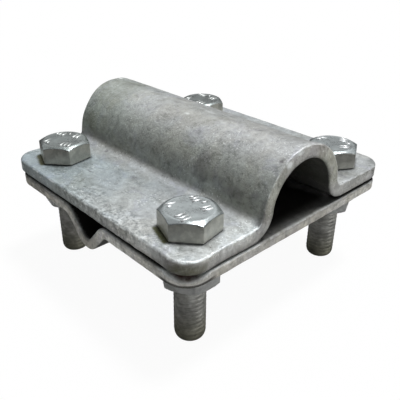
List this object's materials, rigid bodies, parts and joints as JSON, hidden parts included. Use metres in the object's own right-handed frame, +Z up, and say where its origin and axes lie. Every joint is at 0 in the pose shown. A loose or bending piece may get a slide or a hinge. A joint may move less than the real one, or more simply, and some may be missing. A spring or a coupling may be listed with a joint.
{
  "type": "rod to wire clamp",
  "caption": "Galvanised steel clamp: an arched plate and a grooved plate, drawn together by hexagon bolts and nuts, join an earth rod to a wire that crosses it.",
  "frame": {"origin": "middle of the footprint, in the plane of the four bolt ends that it stands on", "axes": "+X along the rod's seat, +Y along the wire's groove, +Z up towards the bolt heads"},
  "size_m": [0.075, 0.076, 0.0462],
  "materials": {
    "galvanised_plate": "hot-dip galvanised, dull and mottled",
    "galvanised_bolt": "galvanised, spun, slightly duller than the plates"
  },
  "bodies": {
    "upper_plate": {"upper_plate": "galvanised_plate"},
    "lower_jaw": {"lower_plate": "galvanised_plate", "nut_near": "galvanised_bolt", "nut_left": "galvanised_bolt", "nut_right": "galvanised_bolt", "nut_far": "galvanised_bolt"},
    "bolt_near": {"bolt_near": "galvanised_bolt"},
    "bolt_left": {"bolt_left": "galvanised_bolt"},
    "bolt_right": {"bolt_right": "galvanised_bolt"},
    "bolt_far": {"bolt_far": "galvanised_bolt"}
  },
  "joints": [
    {"name": "bolt_near_turn", "type": "hinge", "parent": "upper_plate", "child": "bolt_near", "pos_m": [0.0268, -0.027, 0.0305], "axis": [0, 0, 1], "range_deg": [-202, 4320]},
    {"name": "bolt_left_turn", "type": "hinge", "parent": "upper_plate", "child": "bolt_left", "pos_m": [-0.0268, -0.027, 0.0305], "axis": [0, 0, 1], "range_deg": [-202, 4320]},
    {"name": "bolt_right_turn", "type": "hinge", "parent": "upper_plate", "child": "bolt_right", "pos_m": [0.0268, 0.027, 0.0305], "axis": [0, 0, 1], "range_deg": [-202, 4320]},
    {"name": "bolt_far_turn", "type": "hinge", "parent": "upper_plate", "child": "bolt_far", "pos_m": [-0.0268, 0.027, 0.0305], "axis": [0, 0, 1], "range_deg": [-202, 4320]},
    {"name": "jaw_slide", "type": "slide", "parent": "upper_plate", "child": "lower_jaw", "axis": [0, 0, -1], "range_m": [-0.0007, 0.015]}
  ],
  "couplings": [
    {"joint": "bolt_near_turn", "follows": "jaw_slide", "rad_per_m": 5026.5},
    {"joint": "bolt_left_turn", "follows": "jaw_slide", "rad_per_m": 5026.5},
    {"joint": "bolt_right_turn", "follows": "jaw_slide", "rad_per_m": 5026.5},
    {"joint": "bolt_far_turn", "follows": "jaw_slide", "rad_per_m": 5026.5}
  ]
}
